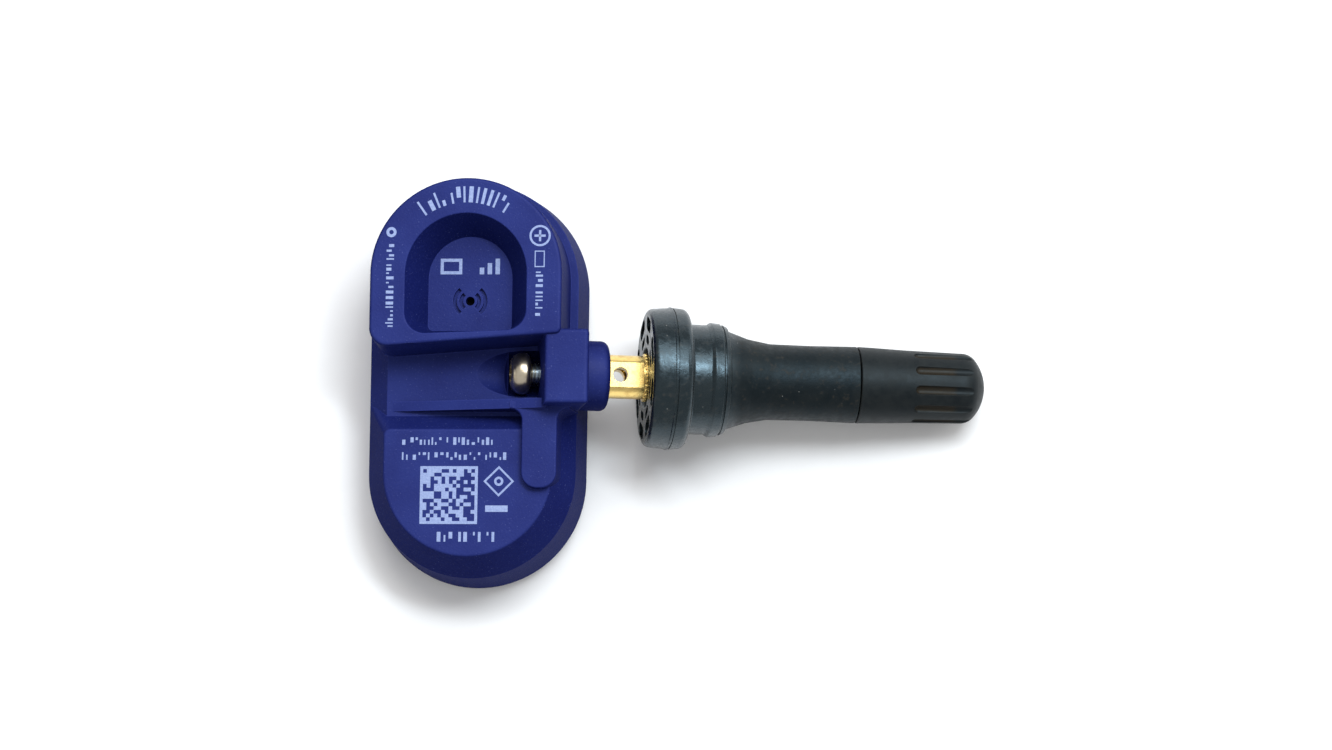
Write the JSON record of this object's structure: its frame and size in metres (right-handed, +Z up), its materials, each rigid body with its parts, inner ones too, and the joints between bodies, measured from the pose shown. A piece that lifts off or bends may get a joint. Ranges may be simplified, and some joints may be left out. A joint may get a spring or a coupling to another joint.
{
  "type": "snap-in wheel tire pressure sensor",
  "caption": "Sealed tire pressure sensor body with a ported recess, screwed to the brass tail of a rubber snap-in wheel valve with a screw-on cap.",
  "frame": {"origin": "on the surface it rests on, under the middle of the object's box", "axes": "+X from the sensor body towards the valve cap, +Y along the sensor body towards its recessed half, +Z up as the object lies at rest on the edge of the sensor body and the side of the cap"},
  "size_m": [0.0818, 0.0538, 0.0207],
  "materials": {
    "housing_plastic": "fine-textured deep blue glass-filled nylon",
    "cover_plastic": "fine-textured deep blue glass-filled nylon",
    "sealant": "cured black sealant bead",
    "board_laminate": "green solder resist on glass laminate",
    "cell_steel": "nickel-plated steel, satin",
    "cell_gasket_plastic": "natural polypropylene",
    "cell_black": "pressed manganese dioxide powder",
    "cell_paper": "non-woven separator",
    "lithium": "dull soft metal",
    "nickel_strip": "rolled nickel strip",
    "chip_black": "black moulding compound",
    "lid_steel": "plated steel lid",
    "silicone": "translucent grey silicone",
    "membrane_dark": "dark expanded vent membrane",
    "ceramic_white": "white fired ceramic",
    "ceramic_tan": "tan fired ceramic with tinned ends",
    "screw_steel": "bright steel thread, darkened head",
    "brass": "turned bright brass",
    "valve_rubber": "black moulded rubber with a faint bloom",
    "core_brass": "turned brass",
    "core_seal_rubber": "dark red seal rubber",
    "spring_steel": "drawn stainless wire",
    "cap_seal_rubber": "soft black rubber",
    "cap_plastic": "black moulded plastic, slightly worn on the ribs"
  },
  "bodies": {
    "root": {"housing": "housing_plastic", "bottom_cover": "cover_plastic", "cover_seal": "sealant", "circuit_board": "board_laminate", "battery_can": "cell_steel", "battery_gasket": "cell_gasket_plastic", "battery_cap": "cell_steel", "battery_cathode": "cell_black", "battery_separator": "cell_paper", "battery_anode": "lithium", "battery_tab_positive": "nickel_strip", "battery_tab_negative": "nickel_strip", "pressure_sensor": "chip_black", "sensor_lid": "lid_steel", "port_gasket": "silicone", "port_membrane": "membrane_dark", "radio_chip": "chip_black", "crystal": "lid_steel", "chip_antenna": "ceramic_white", "capacitors": "ceramic_tan", "resistors": "chip_black", "mounting_screw": "screw_steel", "brass_stem": "brass", "valve_rubber": "valve_rubber", "core_body": "core_brass", "core_gasket": "core_seal_rubber", "core_spring": "spring_steel"},
    "core_plunger": {"core_pin": "core_brass", "core_poppet": "core_brass", "core_poppet_seal": "core_seal_rubber"},
    "cap_carrier": {"cap_seal": "cap_seal_rubber"},
    "cap": {"cap_shell": "cap_plastic"}
  },
  "joints": [
    {"name": "core_press", "type": "slide", "parent": "root", "child": "core_plunger", "axis": [-0.9897, 0, 0.1429], "range_m": [0, 0.0012], "stiffness_N_per_m": 900, "deforming": ["core_spring"]},
    {"name": "cap_travel", "type": "slide", "parent": "root", "child": "cap_carrier", "axis": [0.9897, 0, -0.1429], "range_m": [0, 0.00476]},
    {"name": "cap_turn", "type": "hinge", "parent": "cap_carrier", "child": "cap", "pos_m": [0.02379, 0.00055, 0.00667], "axis": [0.9897, 0, -0.1429], "range_deg": [0, 2160.5]}
  ],
  "couplings": [
    {"joint": "cap_turn", "follows": "cap_travel", "rad_per_m": 7913.3}
  ]
}
